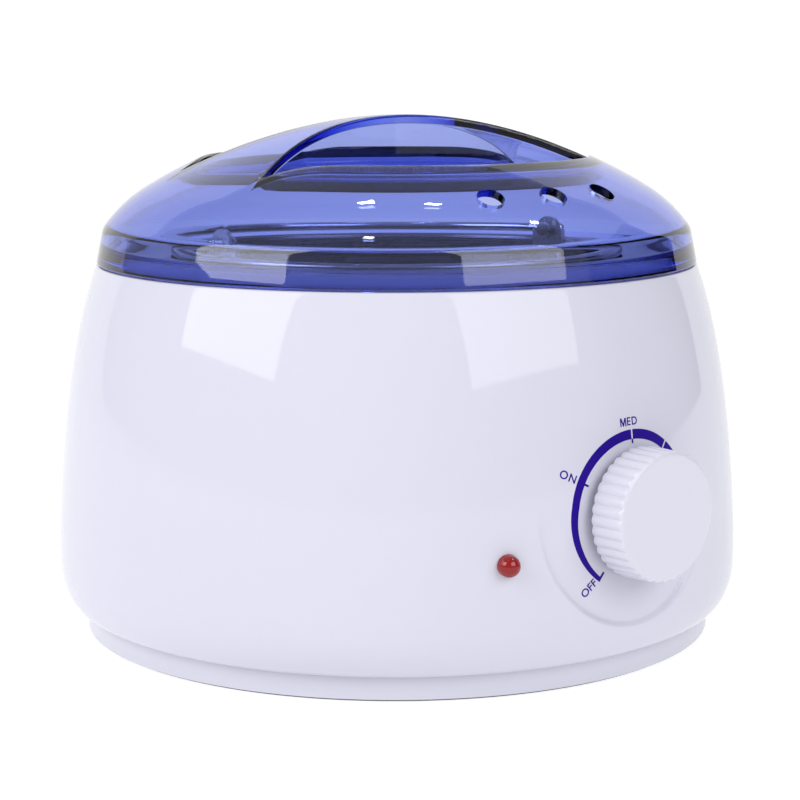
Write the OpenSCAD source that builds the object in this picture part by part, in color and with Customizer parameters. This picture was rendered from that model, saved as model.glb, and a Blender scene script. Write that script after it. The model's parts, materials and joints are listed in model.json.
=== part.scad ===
// Salon wax warmer: a heated well in a round housing, a lift-out wax pot with a wire bail, and a
// clear lid with two finger pockets. Millimetres, +Z up. The housing stands on z = 0 with its
// axis on the Z axis, and the control knob faces -Y.

/* [Housing] */
// Radius of the foot ring of the base
foot_r = 85.4; // [84.8:0.1:85.6]
// Height of the foot ring
foot_h = 6.4; // [6:0.1:6.8]
// Height of the crease where the rounded sill meets the side
crease_z = 18.7; // [18:0.1:19.5]
// Radius of the housing at that crease
crease_r = 92.5; // [92:0.1:93]
// Radius of the shoulder that the lid stands on
seat_r = 81.17; // [81:0.01:81.5]
// Height of that shoulder
seat_z = 99.0; // [98.8:0.1:99.2]
// Wall thickness of the housing
wall = 2.6; // [2.2:0.1:2.8]

/* [Lid] */
// Wall thickness of the lid
lid_wall = 2.2; // [2:0.1:3]
// Height of the top of the dome
lid_top = 138.4; // [137:0.1:139]
// Radius of the crease between the upright band and the dome
band_top_r = 79.3; // [79:0.1:79.5]
// Height of that crease
band_top_z = 108.5; // [108:0.1:109]
// Radius of curvature of the crown
crown_r = 130; // [125:1:135]
// Radius of curvature of the shoulder
shoulder_r = 38; // [37:0.5:39]
// Height of the flat floor of the finger pockets
pocket_z = 122; // [121.5:0.1:122.5]
// Radius of the outer lip of the finger pockets
pocket_r = 51.7; // [51:0.1:52]
// Half the thickness of the grip fin at its middle
fin_half = 3; // [2.8:0.1:3.4]
// Diameter of each vent hole
vent_d = 7; // [6:0.5:8]
// How far round the loose lid sits from straight ahead, in degrees
lid_turn = -4; // [-8:1:8]

/* [Knob and dial] */
// Height of the knob's axis
knob_z = 44; // [43:0.5:45]
// Radius of the knob at its back
knob_back_r = 16.4; // [16:0.1:17]
// Radius of the knob at its face
knob_face_r = 16.2; // [15.8:0.1:16.6]
// Distance of the knob's face from the housing's axis
knob_face = 102.2; // [100:0.1:103]
// Number of flutes around the knob
flutes = 36; // [30:2:44]
// Radius of the shallow dish round the knob
dish_r = 28.3; // [27:0.1:29]

/* [Pilot lamp] */
// Angle of the lamp from straight ahead, to the user's left
lamp_angle = 23.3; // [22:0.1:27]
// Height of the lamp
lamp_z = 34.6; // [33:0.1:36]

/* [Well and pot] */
// Inside radius of the heating well
well_r = 61.2; // [61:0.1:61.4]
// Height of the well's floor, on the inside
well_floor = 36.4; // [36:0.1:37]
// Outside radius of the wax pot
pot_r = 59.4; // [59:0.1:59.6]
// Wall thickness of the wax pot
pot_wall = 1; // [0.8:0.1:1.2]
// Diameter of the bail's wire
bail_wire = 3; // [2.8:0.1:3]

/* [Hidden] */
$fn = 96;
eps = 0.01;
gap = 0.3;

// Housing
plate_z = 4;
plate_t = 2.4;
plate_top = plate_z + plate_t;
ring_lift = 0.6;
ring_in = 80.8;
ring_out = 84.2;
ring_top = 2;
deck_z = 98.6;
deck_t = 2.6;
deck_hole = well_r + 2;
lip_out = seat_r - lid_wall - 1.9;
lip_in = lip_out - 2.4;
lip_z = seat_z + 3.2;
pillar_r = 75;
pillar_top = 34;
screw_r = 1.5;
head_r = 2.8;
head_h = 1.7;
bracket_t = 1.2;
bracket_r = 70;
boss_z = deck_z - deck_t - 1.5;
bracket_angles = [30, 150, 270];
gland_z = 20;
gland_bore = 3.2;
gland_neck = 5.4;

// Well, pot and bail
well_t = 1.2;
well_corner = 6;
flange_r = 72.5;
gasket_t = 0.8;
flange_top = deck_z + gasket_t + well_t;
well_out = well_r + well_t;
pot_floor = well_floor + gap;
pot_corner = 8;
rim_bead = 1.4;
rim_z = flange_top + gap + rim_bead;
bail_z = rim_z + 3.9;
bail_r = 61.5;
ear_in = pot_r - pot_wall - 1.6;
ear_t = 1.25;
ear_hole = bail_wire / 2 + 0.08;

// Heater
band_in = well_out + 0.2;
band_t = 2;
band_z = [58, 88];
sleeve_in = band_in + band_t + 0.4;
sleeve_t = 3.5;
sleeve_z = [65, 90];
lug_z = [70, 78];
lug_x = 3.4;
tab_w = 6.3;
tab_t = 0.8;
heater_angles = [65, 115];
tab_r = band_in + band_t;

// Knob, thermostat and lamp, all measured along their own axis from the housing's axis
dish_floor = 91.3;
knob_back = dish_floor + 0.9;
shaft_r = 3;
bush_r = 5;
bush_out = 94.2;
nut_back = dish_floor + 0.1;
plate_back = 84.4;
stat_back = 68;
stat_front = 79;
stat_w = 26;
stat_h = 14;
lamp_front = 92.25;
lamp_lens_r = 2.5;

// Terminal block
block_x = 15;
block_y = [50, 64];
block_h = 12;
way_pitch = 10;
way_z = plate_top + 4.6;
lead_r = 1;

// Routes of the inner leads, from end to end
live_route = [
    [-10, 50, way_z], [-11, 42, 10], [-20, 20, 9], [-28, -10, 10], [-24, -44, 11],
    [-11, -65, 11], [-6.4, -72.4, 14], [-6.4, -72.4, 18.95]
];
switched_route = [
    [7.8, 50, way_z], [8.6, 42, 10], [18, 18, 9], [26, -12, 10], [22, -46, 11],
    [11, -65, 11], [6.4, -72.4, 14], [6.4, -72.4, 18.95]
];
heater_neutral_route = [
    [-2, 50, way_z], [1, 41, 12], [14, 38, 16], [27, 46, 24], [29, 58, 34], [27.9, 59.8, 42]
];
heater_live_route = [
    [-16, -15, 32], [-24, -13, 29], [-38, 0, 22], [-46, 24, 20], [-42, 50, 26],
    [-30, 61, 35], [-27.9, 59.8, 42]
];
fuse_route = [
    [11.8, 50, way_z], [14, 40, 14], [26, 18, 20], [28, -8, 27], [24, -15, 31], [16, -15, 32]
];
lamp_neutral_route = [
    [2, 50, way_z], [0, 43, 8], [-14, 36, 7.2], [-38, 6, 7.2], [-44, -32, 9], [-38, -56, 18],
    [-30.5, -62.5, 30], [-30.33, -67.4, 34.2], [-31.91, -71.07, 34.6]
];
lamp_live_route = [
    [10.6, 50, way_z - 3], [6, 42, 7.4], [-10, 31, 7.2], [-34, 2, 7.2], [-40, -32, 9],
    [-34, -56, 18], [-27.5, -63.5, 30], [-28.13, -68.34, 34.2], [-29.71, -72.01, 34.6]
];

// ---------------------------------------------------------------- helpers

// Points of an arc about c from angle a to angle b
function arc(c, r, a, b, n = 12) =
    [for (i = [0:n]) c + r * [cos(a + (b - a) * i / n), sin(a + (b - a) * i / n)]];

// Points of a cubic Bezier curve
function bezier(p, n = 16) = [
    for (i = [0:n])
        let (t = i / n, s = 1 - t)
        s * s * s * p[0] + 3 * s * s * t * p[1] + 3 * s * t * t * p[2] + t * t * t * p[3]
];

// The same outline moved inward by d
function inset(pts, d) = [for (p = pts) [p[0] - d, p[1]]];

function reversed(pts) = [for (i = [len(pts) - 1:-1:0]) pts[i]];

// A curve through every point of a route, k steps for each stretch
function smooth(p, k = 5) = [
    for (i = [0:len(p) - 2], j = [0:k - 1])
        let (
            t = j / k,
            a = p[max(i - 1, 0)],
            b = p[i],
            c = p[i + 1],
            d = p[min(i + 2, len(p) - 1)]
        )
        0.5 * (2 * b + (c - a) * t + (2 * a - 5 * b + 4 * c - d) * t * t
            + (3 * b - a - 3 * c + d) * t * t * t),
    p[len(p) - 1]
];

function unit(v) = v / norm(v);

function heading(p, i) = unit(p[min(i + 1, len(p) - 1)] - p[max(i - 1, 0)]);

// A side direction for each ring of a tube, carried along the route without twist
function sides_along(p, i, last) =
    i == len(p) ? []
    : let (h = heading(p, i), s = unit(last - (last * h) * h))
        concat([s], sides_along(p, i + 1, s));

// A round tube swept along a route
module tube(route, r, n = 8) {
    path = smooth(route);
    side = sides_along(path, 0, [0.3, 0.5, 0.9]);
    rings = len(path);
    points = [
        for (i = [0:rings - 1], k = [0:n - 1])
            let (up = cross(heading(path, i), side[i]))
            path[i] + r * (cos(360 * k / n) * side[i] + sin(360 * k / n) * up)
    ];
    skin = [
        for (i = [0:rings - 2], k = [0:n - 1])
            let (a = i * n + k, b = i * n + (k + 1) % n)
            [a, a + n, b + n, b]
    ];
    start = [for (k = [0:n - 1]) k];
    end = [for (k = [n - 1:-1:0]) (rings - 1) * n + k];
    polyhedron(points, concat(skin, [start, end]), convexity = 8);
}

// Stands a shape on a radial axis: its +Z points outward, straight ahead at height z
module radial(z, angle = 0) {
    rotate([0, 0, angle]) translate([0, 0, z]) rotate([90, 0, 0]) children();
}

module ring(r_in, r_out, z0, z1) {
    difference() {
        translate([0, 0, z0]) cylinder(r = r_out, h = z1 - z0);
        translate([0, 0, z0 - 1]) cylinder(r = r_in, h = z1 - z0 + 2);
    }
}

module block(lo, hi) {
    translate(lo) cube(hi - lo);
}

// A pan-head screw whose head's underside is at z = 0 and whose shank points up
module screw(length) {
    cylinder(r = screw_r, h = length);
    difference() {
        translate([0, 0, -head_h]) cylinder(r = head_r, h = head_h);
        translate([-0.4, -2, -head_h - eps]) cube([0.8, 4, 0.8]);
        translate([-2, -0.4, -head_h - eps]) cube([4, 0.8, 0.8]);
    }
}

module at_pillars() {
    for (a = [45:90:315]) rotate([0, 0, a]) translate([pillar_r, 0, 0]) children();
}

module at_brackets() {
    for (a = bracket_angles) rotate([0, 0, a]) children();
}

// ---------------------------------------------------------------- housing

sill = [for (i = [0:10]) [foot_r + (crease_r - foot_r) * sin(9 * i),
    crease_z - (crease_z - foot_h) * cos(9 * i)]];
side = bezier([[crease_r, crease_z], [crease_r + 0.4, crease_z + 1.3],
    [crease_r - 0.1, 0.7 * seat_z], [seat_r, seat_z]], 24);

module shell_body() {
    inner = [for (p = inset(concat(sill, side), wall)) if (p[1] < deck_z - deck_t) p];
    rotate_extrude($fn = 144) polygon(concat(
        sill, side,
        [[lip_out, seat_z], [lip_out, lip_z], [lip_in, lip_z], [lip_in, deck_z],
            [deck_hole, deck_z], [deck_hole, deck_z - deck_t],
            [seat_r + 1.1 - wall, deck_z - deck_t]],
        reversed(inner)
    ));
}

module outer_shell() {
    color("ghostwhite") difference() {
        union() {
            shell_body();
            intersection() {
                rotate_extrude($fn = 144) polygon([[60, foot_h], [foot_r - 1, foot_h],
                    [crease_r - 1, crease_z], [crease_r - 1, 60], [60, 60]]);
                at_pillars() {
                    translate([0, 0, plate_top]) cylinder(r = 3.6, h = pillar_top - plate_top);
                    translate([0, -1, 12]) cube([18, 2, pillar_top - 12]);
                }
            }
            at_brackets() translate([bracket_r, 0, boss_z])
                cylinder(r = 4, h = deck_z - deck_t - boss_z + 0.1);
        }
        // the dish round the knob, faded into the side by its upright floor
        difference() {
            radial(knob_z) translate([0, 0, 60]) cylinder(r = dish_r, h = 50);
            translate([0, 0, -1]) cylinder(r = dish_floor, h = 130, $fn = 144);
        }
        radial(knob_z) translate([0, 0, 80]) cylinder(r = bush_r + 0.1, h = 20);
        radial(lamp_z, -lamp_angle) translate([0, 0, 80]) cylinder(r = lamp_lens_r + 0.2, h = 20);
        radial(gland_z, 180) translate([0, 0, 80]) cylinder(r = gland_neck + 0.1, h = 20);
        at_pillars() translate([0, 0, 5]) cylinder(r = screw_r + 0.05, h = 12);
        at_brackets() translate([bracket_r, 0, boss_z - 1])
            cylinder(r = screw_r + 0.05, h = 4.9);
    }
}

module base_plate() {
    color("whitesmoke") difference() {
        union() {
            translate([0, 0, plate_z]) cylinder(r = foot_r - 2, h = plate_t);
            ring(79.6, foot_r, ring_lift, plate_top);
            ring(foot_r - 3, foot_r, plate_z, foot_h);
            ring(79.8, 82.4, plate_top - 0.1, 9.4);
        }
        ring(ring_in, ring_out, -1, ring_top);
        at_pillars() translate([0, 0, -1]) cylinder(r = screw_r + 0.3, h = 12);
        at_pillars() translate([0, 0, plate_top]) cylinder(r = 4.2, h = 12);
        for (a = [0:30:330])
            rotate([0, 0, a + 15]) translate([30, -1.3, 0]) cube([26, 2.6, 10]);
    }
}

module foot_ring() {
    color("dimgray") ring(ring_in, ring_out, 0, ring_top);
}

module base_screws() {
    color("silver") at_pillars() translate([0, 0, plate_z]) screw(12);
}

// The bush in the rear wall that the supply cord passes through
module cord_gland() {
    color("ghostwhite") radial(gland_z, 180) difference() {
        union() {
            translate([0, 0, 84]) cylinder(r = gland_neck, h = 10);
            translate([0, 0, 92.7]) cylinder(r1 = 7.6, r2 = 6.6, h = 2.3);
            translate([0, 0, 87.4]) cylinder(r = 6.8, h = 2);
        }
        translate([0, 0, 80]) cylinder(r = gland_bore, h = 20);
    }
}

// ---------------------------------------------------------------- heating well

module heating_well() {
    corner = [well_r - well_corner, well_floor + well_corner];
    color("gainsboro") rotate_extrude($fn = 144) polygon(concat(
        [[0, well_floor]],
        arc(corner, well_corner, -90, 0, 8),
        [[well_r, flange_top], [flange_r, flange_top], [flange_r, flange_top - well_t],
            [well_out, flange_top - well_t]],
        arc(corner, well_corner + well_t, 0, -90, 8),
        [[0, well_floor - well_t]]
    ));
}

module well_gasket() {
    color("indianred") ring(deck_hole + 0.2, flange_r + 0.5, deck_z, deck_z + gasket_t);
}

module well_brackets() {
    color("silver") at_brackets() difference() {
        union() {
            intersection() {
                block([50, -5, 89], [70, 5, boss_z]);
                ring(well_out, well_out + bracket_t, 80, 100);
            }
            block([well_out + 0.5, -5, boss_z - bracket_t], [bracket_r + 4, 5, boss_z]);
        }
        translate([bracket_r, 0, 80]) cylinder(r = screw_r + 0.2, h = 20);
    }
}

module well_screws() {
    color("silver") at_brackets() translate([bracket_r, 0, boss_z - bracket_t]) screw(4.8);
}

module heater_band() {
    color("goldenrod") difference() {
        union() {
            ring(band_in, band_in + band_t, band_z[0], band_z[1]);
            for (s = [-1, 1])
                block([min(s * lug_x, s * (lug_x - bracket_t)), band_in + 0.5, lug_z[0]],
                    [max(s * lug_x, s * (lug_x - bracket_t)), 75, lug_z[1]]);
        }
        block([bracket_t - lug_x, 50, band_z[0] - 1], [lug_x - bracket_t, 90, band_z[1] + 1]);
        translate([-10, 71.5, 74]) rotate([0, 90, 0]) cylinder(r = screw_r + 0.2, h = 20);
    }
}

module band_screw() {
    color("silver") translate([-lug_x, 71.5, 74]) rotate([0, 90, 0]) screw(11);
}

module band_nut() {
    color("silver") translate([lug_x, 71.5, 74]) rotate([0, 90, 0]) difference() {
        cylinder(r = 3.1, h = 2.4, $fn = 6);
        translate([0, 0, -1]) cylinder(r = screw_r + 0.02, h = 5);
    }
}

module heater_tabs() {
    color("silver") for (a = heater_angles) rotate([0, 0, a])
        block([tab_r + 0.05, -tab_w / 2, 50], [tab_r + 0.05 + tab_t, tab_w / 2, 63]);
}

module insulation_sleeve() {
    color("wheat") difference() {
        ring(sleeve_in, sleeve_in + sleeve_t, sleeve_z[0], sleeve_z[1]);
        block([-9, 40, 0], [9, 90, 100]);
    }
}

// ---------------------------------------------------------------- thermostat and knob

module thermostat_bracket() {
    color("silver") difference() {
        union() {
            radial(knob_z) block([-18, -11, plate_back], [18, 11, plate_back + bracket_t]);
            for (s = [-1, 1]) radial(knob_z)
                block([s * 17.4 - 0.6, -8, stat_back + 2], [s * 17.4 + 0.6, 8, plate_back + 0.1]);
            radial(knob_z) for (s = [-1, 1])
                block([s * 15.6 - 2.4, -8, stat_front], [s * 15.6 + 2.4, 8, stat_front + 1.2]);
        }
        radial(knob_z) translate([0, 0, 70]) cylinder(r = bush_r + 0.05, h = 20);
    }
}

module thermostat_body() {
    color("antiquewhite") radial(knob_z) difference() {
        block([-stat_w / 2, -stat_h / 2, stat_back], [stat_w / 2, stat_h / 2, stat_front]);
        translate([0, 0, 60]) cylinder(r = shaft_r + 0.6, h = 30);
        for (s = [-1, 1]) translate([s * 9.5, 2.5, 60]) cylinder(r = screw_r + 0.05, h = 12);
    }
}

// Spring blades with their contacts, in front of the well's wall
module thermostat_blades() {
    color("peru") radial(knob_z) {
        difference() {
            block([-12.5, -5, 67.2], [12.5, 5, 67.8]);
            for (s = [-1, 1]) translate([s * 9.5, 2.5, 60])
                cylinder(r = screw_r + 0.15, h = 12);
        }
        block([-3, -4, 65.2], [12.5, 4, 65.8]);
        block([11.9, -4, 65.2], [12.5, 4, 67.3]);
        translate([0, 0, 65.7]) cylinder(r = 1.8, h = 0.7);
        translate([0, 0, 66.5]) cylinder(r = 1.8, h = 0.8);
    }
}

module thermostat_tabs() {
    color("silver") radial(knob_z) for (s = [-1, 1])
        block([s * 6.4 - tab_w / 2, -17, 72], [s * 6.4 + tab_w / 2, -stat_h / 2 - 0.02, 72 + tab_t]);
}

module blade_rivets() {
    color("silver") radial(knob_z) for (s = [-1, 1])
        translate([s * 9.5, 2.5, 67.1]) cylinder(r = screw_r, h = 4.4);
}

module shaft_bush() {
    color("darkkhaki") radial(knob_z) difference() {
        union() {
            translate([0, 0, stat_front + 1.4]) cylinder(r = bush_r, h = bush_out - stat_front - 1.4);
            translate([0, 0, stat_front + 1.4]) cylinder(r = 7.6, h = 3.6, $fn = 6);
        }
        translate([0, 0, 70]) cylinder(r = shaft_r + 0.06, h = 30);
    }
}

module shaft_nut() {
    color("silver") radial(knob_z) difference() {
        translate([0, 0, nut_back]) cylinder(r = 7.5, h = 2.2, $fn = 6);
        translate([0, 0, 80]) cylinder(r = bush_r + 0.03, h = 20);
    }
}

module thermostat_shaft() {
    color("silver") radial(knob_z) difference() {
        translate([0, 0, 68.4]) cylinder(r = shaft_r, h = 97 - 68.4);
        block([-4, shaft_r - 0.9, bush_out + 0.6], [4, shaft_r + 1, 98]);
    }
}

// Outline of the fluted grip at radius r
function flute_outline(r, steps = 8) = [
    for (i = [0:flutes * steps - 1])
        let (a = 360 * i / (flutes * steps))
        (r - 0.5 + 0.5 * abs(cos(flutes * a / 2))) * [cos(a), sin(a)]
];

module knob() {
    depth = knob_face - knob_back;
    hollow = knob_back_r - 2.8;
    color("white") radial(knob_z) difference() {
        union() {
            difference() {
                translate([0, 0, knob_back])
                    linear_extrude(height = depth, scale = knob_face_r / knob_back_r)
                        polygon(flute_outline(knob_back_r));
                translate([0, 0, knob_back - 1]) cylinder(r = hollow, h = depth - 1.4);
            }
            translate([0, 0, knob_face - 0.05]) rotate_extrude() polygon(concat(
                [[0, 0]], arc([0, -200], 200.65, 85.6, 90, 10)));
            translate([0, 0, bush_out + 0.4])
                cylinder(r = bush_r, h = knob_face - 2 - bush_out);
        }
        difference() {
            translate([0, 0, 90]) cylinder(r = shaft_r + 0.02, h = 7.2);
            block([-4, shaft_r - 0.88, 89], [4, shaft_r + 1, 98]);
        }
    }
}

// The spring ring that grips the knob's split boss on the shaft
module knob_clip() {
    color("silver") radial(knob_z) difference() {
        translate([0, 0, 95.4]) cylinder(r = bush_r + 0.75, h = 1.6);
        translate([0, 0, 90]) cylinder(r = bush_r + 0.05, h = 10);
        block([-1, -9, 90], [1, 0, 99]);
    }
}

// ---------------------------------------------------------------- thermal fuse

module along_fuse() {
    translate([0, -15, 32]) rotate([0, 90, 0]) children();
}

module thermal_fuse() {
    color("silver") along_fuse() {
        translate([0, 0, -5.5]) cylinder(r = 1.9, h = 11);
        translate([0, 0, -15.5]) cylinder(r = 0.5, h = 31);
    }
}

module fuse_sleeve() {
    color("khaki") along_fuse() difference() {
        translate([0, 0, -13]) cylinder(r = 2.7, h = 26);
        translate([0, 0, -20]) cylinder(r = 2, h = 40);
    }
}

module fuse_clip() {
    under = well_floor - well_t - 0.05;
    color("silver") difference() {
        union() {
            block([-4, -25, under - 0.8], [4, -5, under]);
            block([-4, -18.6, 29], [4, -11.4, under]);
            along_fuse() translate([0, 0, -4]) cylinder(r = 3.6, h = 8);
        }
        along_fuse() translate([0, 0, -6]) cylinder(r = 2.75, h = 12);
        block([-6, -17.75, 32], [6, -12.25, 36]);
        block([-6, -30, 20], [6, -18.5, under - 0.8]);
        block([-6, -11.5, 20], [6, 0, under - 0.8]);
        block([-6, -20, 20], [6, -10, 29.2]);
        for (y = [-22, -8]) translate([0, y, 20]) cylinder(r = screw_r + 0.15, h = 20);
    }
}

module fuse_screws() {
    color("silver") for (y = [-22, -8])
        translate([0, y, well_floor - well_t - 0.85]) screw(0.8);
}

// ---------------------------------------------------------------- pilot lamp

module lamp_lens() {
    color("red") radial(lamp_z, -lamp_angle) {
        translate([0, 0, 82]) cylinder(r = lamp_lens_r, h = 11);
        translate([0, 0, lamp_front]) cylinder(r = 3.2, h = 0.6);
        translate([0, 0, 93]) intersection() {
            sphere(r = lamp_lens_r);
            cylinder(r = 5, h = 5);
        }
    }
}

module lamp_holder() {
    color("ivory") radial(lamp_z, -lamp_angle) difference() {
        translate([0, 0, 78]) cylinder(r = 4.1, h = 11.2);
        translate([0, 0, 79.5]) cylinder(r = lamp_lens_r + 0.05, h = 12);
    }
}

module lamp_ring() {
    color("silver") radial(lamp_z, -lamp_angle) difference() {
        translate([0, 0, 87]) cylinder(r = 6.4, h = 0.6);
        translate([0, 0, 80]) cylinder(r = 4.15, h = 10);
    }
}

// ---------------------------------------------------------------- wiring

module terminal_block() {
    color("ivory") difference() {
        block([-block_x, block_y[0], plate_top], [block_x, block_y[1], plate_top + block_h]);
        for (w = [-1:1]) {
            translate([w * way_pitch, 40, way_z]) rotate([-90, 0, 0]) cylinder(r = 3.2, h = 40);
            for (y = [53.5, 60.5])
                translate([w * way_pitch, y, way_z]) cylinder(r = 2.3, h = 20);
        }
    }
}

module terminal_screws() {
    color("silver") for (w = [-1:1], y = [53.5, 60.5])
        translate([w * way_pitch, y, plate_top + block_h - 1]) rotate([180, 0, 0]) difference() {
            union() {
                cylinder(r = 2.1, h = 2);
                cylinder(r = screw_r, h = 5);
            }
            block([-3, -0.3, -1], [3, 0.3, 0.6]);
        }
}

module connector() {
    difference() {
        block([-4.2, -1.6, -9], [4.2, 1.6, 0]);
        block([-tab_w / 2 - 0.05, -tab_t / 2 - 0.03, -7], [tab_w / 2 + 0.05, tab_t / 2 + 0.03, 1]);
    }
}

module spade_connectors() {
    color("crimson") for (s = [-1, 1])
        translate([s * 6.4, -72 - tab_t / 2, knob_z - 17 + 1]) connector();
    color("crimson") for (a = heater_angles) rotate([0, 0, a])
        translate([tab_r + 0.05 + tab_t / 2, 0, 51]) rotate([0, 0, 90]) connector();
}

module thermostat_leads() {
    color("saddlebrown") tube(live_route, lead_r);
    color("saddlebrown") tube(switched_route, lead_r);
}

module heater_leads() {
    color("royalblue") tube(heater_neutral_route, lead_r);
    color("royalblue") tube(heater_live_route, lead_r);
}

module fuse_lead() {
    color("firebrick") tube(fuse_route, lead_r);
}

module lamp_leads() {
    color("black") tube(lamp_neutral_route, 0.7);
    color("black") tube(lamp_live_route, 0.7);
}

// ---------------------------------------------------------------- pot and bail

module wax_pot() {
    inside = pot_r - pot_wall;
    corner = [inside - pot_corner, pot_floor + pot_wall + pot_corner];
    color("lightgray") rotate_extrude($fn = 144) polygon(concat(
        [[0, pot_floor + pot_wall]],
        arc(corner, pot_corner, -90, 0, 8),
        arc([inside + rim_bead, rim_z], rim_bead, 180, -acos(pot_wall / rim_bead - 1), 16),
        arc(corner, pot_corner + pot_wall, 0, -90, 8),
        [[0, pot_floor]]
    ));
}

module pot_ears() {
    color("silver") for (s = [0, 180]) rotate([0, 0, s]) difference() {
        union() {
            block([ear_in, -6, rim_z - 11], [ear_in + ear_t, 6, bail_z]);
            translate([ear_in, 0, bail_z]) rotate([0, 90, 0]) cylinder(r = 4.2, h = ear_t);
        }
        translate([40, 0, bail_z]) rotate([0, 90, 0]) cylinder(r = ear_hole, h = 30);
        for (y = [-3.5, 3.5]) translate([40, y, rim_z - 7]) rotate([0, 90, 0])
            cylinder(r = 1.05, h = 30);
    }
}

module ear_rivets() {
    color("silver") for (s = [0, 180], y = [-3.5, 3.5])
        rotate([0, 0, s]) translate([ear_in - 0.8, y, rim_z - 7]) rotate([0, 90, 0]) {
            cylinder(r = 2, h = 0.8);
            cylinder(r = 1, h = 1.9);
        }
}

module pot_bail() {
    r = bail_wire / 2;
    color("silver") translate([0, 0, bail_z]) {
        rotate_extrude(angle = 180) translate([bail_r, 0]) circle(r = r, $fn = 24);
        for (s = [0, 180]) rotate([0, 0, s]) {
            translate([bail_r, 0, 0]) sphere(r = r + 0.2);
            translate([ear_in - 1.2, 0, 0]) rotate([0, 90, 0])
                cylinder(r = r, h = bail_r - ear_in + 1.2);
            translate([ear_in - 2.2, 0, 0]) rotate([0, 90, 0]) cylinder(r = r + 0.8, h = 1.1);
        }
    }
}

// ---------------------------------------------------------------- lid

// Where the crown arc meets the shoulder arc, found from the lid's height and its crease
crown_c = lid_top - crown_r;
reach = norm([band_top_r, band_top_z - crown_c]);
turn = atan2(band_top_r, band_top_z - crown_c) - acos(
    (pow(crown_r - shoulder_r, 2) + reach * reach - shoulder_r * shoulder_r)
    / (2 * (crown_r - shoulder_r) * reach));
shoulder_c = [(crown_r - shoulder_r) * sin(turn), crown_c + (crown_r - shoulder_r) * cos(turn)];
crease_a = atan2(band_top_z - shoulder_c[1], band_top_r - shoulder_c[0]);

// Half outline of the lid's dome, thinned by t, closed down to height z
function dome_outline(t, z) = concat(
    [[0, z], [seat_r - t, z], [band_top_r - t * 0.94, band_top_z - t * 0.3]],
    arc(shoulder_c, shoulder_r - t, crease_a + t * 0.8, 90 - turn, 10),
    arc([0, crown_c], crown_r - t, 90 - turn, 90, 12)
);

// One finger pocket seen from above, between the fin's hollow face and the outer lip.
// m moves the whole outline outward.
function pocket_outline(m) =
    let (
        tip = [56 + m * 1.2, 20.3],
        lip_a = 38,
        lip = arc([0, 0], pocket_r + m, lip_a, 180 - lip_a, 20),
        face = [for (i = [-12:12]) let (t = tip[0] * i / 12)
            [t, fin_half - m * 0.72 + (tip[1] - fin_half + m * 0.72) * pow(t / tip[0], 2)]],
        corner = bezier([lip[0], [46.5 + m, 24.8], [50.5 + m, 21.6], tip], 6)
    )
    concat(
        face,
        reversed([for (i = [0:5]) corner[i]]),
        [for (i = [1:19]) lip[i]],
        [for (i = [0:5]) [-corner[i][0], corner[i][1]]]
    );

module pocket(m, z) {
    for (s = [0, 180]) rotate([0, 0, s]) translate([0, 0, z])
        linear_extrude(height = 30, convexity = 4) polygon(pocket_outline(m));
}

module lid() {
    bottom = seat_z + gap;
    vent_r = 66.3;
    color([0.35, 0.4, 0.85, 0.6]) rotate([0, 0, lid_turn]) rotate([0, 0, 180]) difference() {
        union() {
            difference() {
                rotate_extrude($fn = 144) polygon(dome_outline(0, bottom));
                translate([0, 0, -eps]) rotate_extrude($fn = 144)
                    polygon(dome_outline(lid_wall, bottom - 1));
            }
            intersection() {
                rotate_extrude($fn = 144) polygon(dome_outline(0.4, bottom));
                pocket(lid_wall, pocket_z - lid_wall);
            }
        }
        pocket(0, pocket_z);
        for (a = [-15.65, 0, 15.65]) rotate([0, 0, a])
            translate([0, 0, crown_c]) rotate([-asin(vent_r / crown_r), 0, 0])
                translate([0, 0, crown_r - 12]) cylinder(d = vent_d, h = 20);
    }
}

outer_shell();
base_plate();
foot_ring();
base_screws();
cord_gland();
heating_well();
well_gasket();
well_brackets();
well_screws();
heater_band();
band_screw();
band_nut();
heater_tabs();
insulation_sleeve();
thermostat_bracket();
thermostat_body();
thermostat_blades();
thermostat_tabs();
blade_rivets();
shaft_bush();
shaft_nut();
thermostat_shaft();
knob();
knob_clip();
thermal_fuse();
fuse_sleeve();
fuse_clip();
fuse_screws();
lamp_lens();
lamp_holder();
lamp_ring();
terminal_block();
terminal_screws();
spade_connectors();
thermostat_leads();
heater_leads();
fuse_lead();
lamp_leads();
wax_pot();
pot_ears();
ear_rivets();
pot_bail();
lid();
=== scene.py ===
"""Looks of the wax warmer: a round white housing with a dial, a heated well with a lift-out pot,
and a clear violet-blue lid with two finger pockets. Lengths inside the helpers are millimetres."""
import json
import math

import bmesh
import bpy
import numpy as np
from mathutils import Matrix, Vector


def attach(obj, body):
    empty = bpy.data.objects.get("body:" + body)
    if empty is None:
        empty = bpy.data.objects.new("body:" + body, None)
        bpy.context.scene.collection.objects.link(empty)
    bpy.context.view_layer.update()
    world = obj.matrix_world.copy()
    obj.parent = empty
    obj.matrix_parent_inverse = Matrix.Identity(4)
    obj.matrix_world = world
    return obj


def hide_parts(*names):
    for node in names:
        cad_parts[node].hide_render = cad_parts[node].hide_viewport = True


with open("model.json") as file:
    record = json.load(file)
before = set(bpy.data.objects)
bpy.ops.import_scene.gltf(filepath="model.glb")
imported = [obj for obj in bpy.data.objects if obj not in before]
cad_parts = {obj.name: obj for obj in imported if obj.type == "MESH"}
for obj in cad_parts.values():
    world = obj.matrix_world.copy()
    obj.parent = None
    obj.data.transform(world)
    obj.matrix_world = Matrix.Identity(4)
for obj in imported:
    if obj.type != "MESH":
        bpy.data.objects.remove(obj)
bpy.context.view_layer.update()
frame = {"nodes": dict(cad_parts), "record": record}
scene = bpy.context.scene
scene.view_settings.view_transform = "Standard"
MM = 0.001
NOISE_LOW, NOISE_HIGH = 0.3, 0.7  # the range that most of a noise texture's values fall in


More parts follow.
